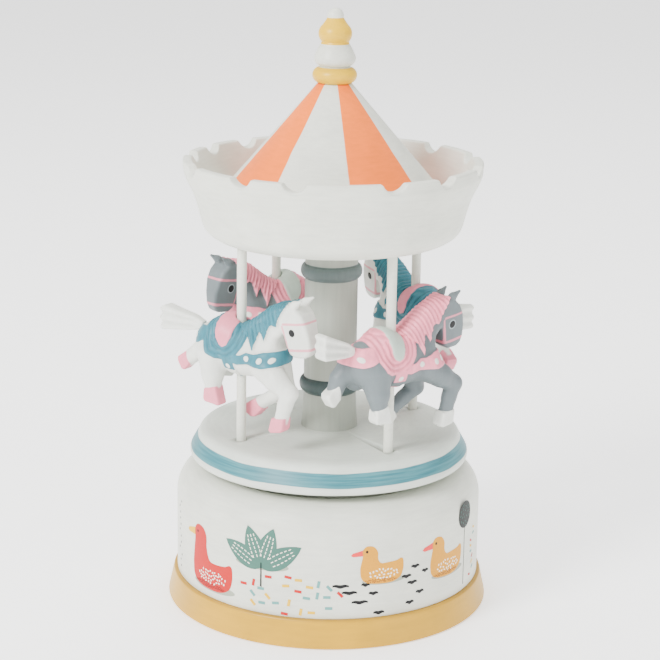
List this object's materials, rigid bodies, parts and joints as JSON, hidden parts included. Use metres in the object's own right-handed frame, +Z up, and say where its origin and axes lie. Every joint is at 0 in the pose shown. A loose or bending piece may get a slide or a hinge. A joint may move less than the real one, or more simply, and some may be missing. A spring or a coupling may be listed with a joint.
{
  "type": "carousel music box",
  "caption": "Turned wooden music box whose movement turns a carousel of rising and falling horses under a striped roof.",
  "frame": {"origin": "centre of the foot's underside, on the carousel's axis", "axes": "+Z up along the axis the carousel turns about; the front with the duck print faces -Y"},
  "size_m": [0.11, 0.11, 0.2005],
  "materials": {
    "white_paint": "satin",
    "yellow_paint": "satin",
    "orange_paint": "satin",
    "blue_paint": "satin",
    "grey_paint": "satin",
    "print_ink": "satin",
    "horse_white": "satin",
    "horse_grey": "satin",
    "teal_paint": "satin",
    "pink_paint": "satin",
    "bare_wood": "matte",
    "nylon": "satin",
    "steel": "satin",
    "plated_steel": "satin",
    "brass": "satin"
  },
  "bodies": {
    "base": {"base_foot": "yellow_paint", "drum_casing": "white_paint", "bottom_cover": "bare_wood", "cover_screw_1": "steel", "cover_screw_2": "steel", "cover_screw_3": "steel", "wave_track": "nylon", "thrust_spacer": "nylon", "movement_bedplate": "plated_steel", "movement_screw_1": "steel", "movement_screw_2": "steel", "movement_screw_3": "steel", "movement_screw_4": "steel", "spring_housing": "plated_steel", "mainspring": "steel", "comb": "steel", "comb_screw_1": "steel", "comb_screw_2": "steel", "cylinder_bracket": "plated_steel", "bracket_screw": "steel", "governor_frame": "plated_steel", "governor_screw": "steel"},
    "carousel": {"winding_arbor": "steel", "crown_wheel": "brass", "drive_hub": "brass", "hub_screw_1": "steel", "hub_screw_2": "steel", "hub_screw_3": "steel", "turntable": "white_paint", "column": "white_paint", "canopy": "white_paint", "roof_dowel": "bare_wood", "roof_cone": "orange_paint", "finial": "yellow_paint"},
    "cylinder": {"music_cylinder": "brass", "cylinder_pinion": "brass", "train_wheel": "brass"},
    "governor_arbor": {"governor_wheel": "brass"},
    "air_brake": {"governor_worm": "plated_steel"},
    "rider_1": {"pole_1": "white_paint", "pole_glide_1": "nylon", "horse_1": "horse_white", "tail_1": "horse_white"},
    "rider_2": {"pole_2": "white_paint", "pole_glide_2": "nylon", "horse_2": "horse_grey", "tail_2": "horse_white"},
    "rider_3": {"pole_3": "white_paint", "pole_glide_3": "nylon", "horse_3": "horse_white", "tail_3": "horse_white"},
    "rider_4": {"pole_4": "white_paint", "pole_glide_4": "nylon", "horse_4": "horse_grey", "tail_4": "horse_white"}
  },
  "joints": [
    {"name": "carousel_spin", "type": "hinge", "parent": "base", "child": "carousel", "pos_m": [0, 0, 0.0495], "axis": [0, 0, 1], "continuous": true},
    {"name": "cylinder_spin", "type": "hinge", "parent": "base", "child": "cylinder", "pos_m": [0.024, 0, 0.014], "axis": [1, 0, 0], "continuous": true},
    {"name": "governor_spin", "type": "hinge", "parent": "base", "child": "governor_arbor", "pos_m": [0.029, -0.0115, 0.014], "axis": [1, 0, 0], "continuous": true},
    {"name": "air_brake_spin", "type": "hinge", "parent": "base", "child": "air_brake", "pos_m": [0.0275, -0.0165, 0.014], "axis": [0, 0, 1], "continuous": true},
    {"name": "horse_1_lift", "type": "slide", "parent": "carousel", "child": "rider_1", "axis": [0, 0, 1], "range_m": [-0.00098, 0.00342]},
    {"name": "horse_2_lift", "type": "slide", "parent": "carousel", "child": "rider_2", "axis": [0, 0, 1], "range_m": [-0.00037, 0.00403]},
    {"name": "horse_3_lift", "type": "slide", "parent": "carousel", "child": "rider_3", "axis": [0, 0, 1], "range_m": [-0.00342, 0.00098]},
    {"name": "horse_4_lift", "type": "slide", "parent": "carousel", "child": "rider_4", "axis": [0, 0, 1], "range_m": [-0.00403, 0.00037]}
  ],
  "couplings": [
    {"joint": "cylinder_spin", "follows": "carousel_spin", "ratio": -2.6667},
    {"joint": "governor_spin", "follows": "carousel_spin", "ratio": 8},
    {"joint": "air_brake_spin", "follows": "carousel_spin", "ratio": 128},
    {"joint": "horse_3_lift", "follows": "horse_1_lift", "ratio": -1},
    {"joint": "horse_4_lift", "follows": "horse_2_lift", "ratio": -1}
  ]
}
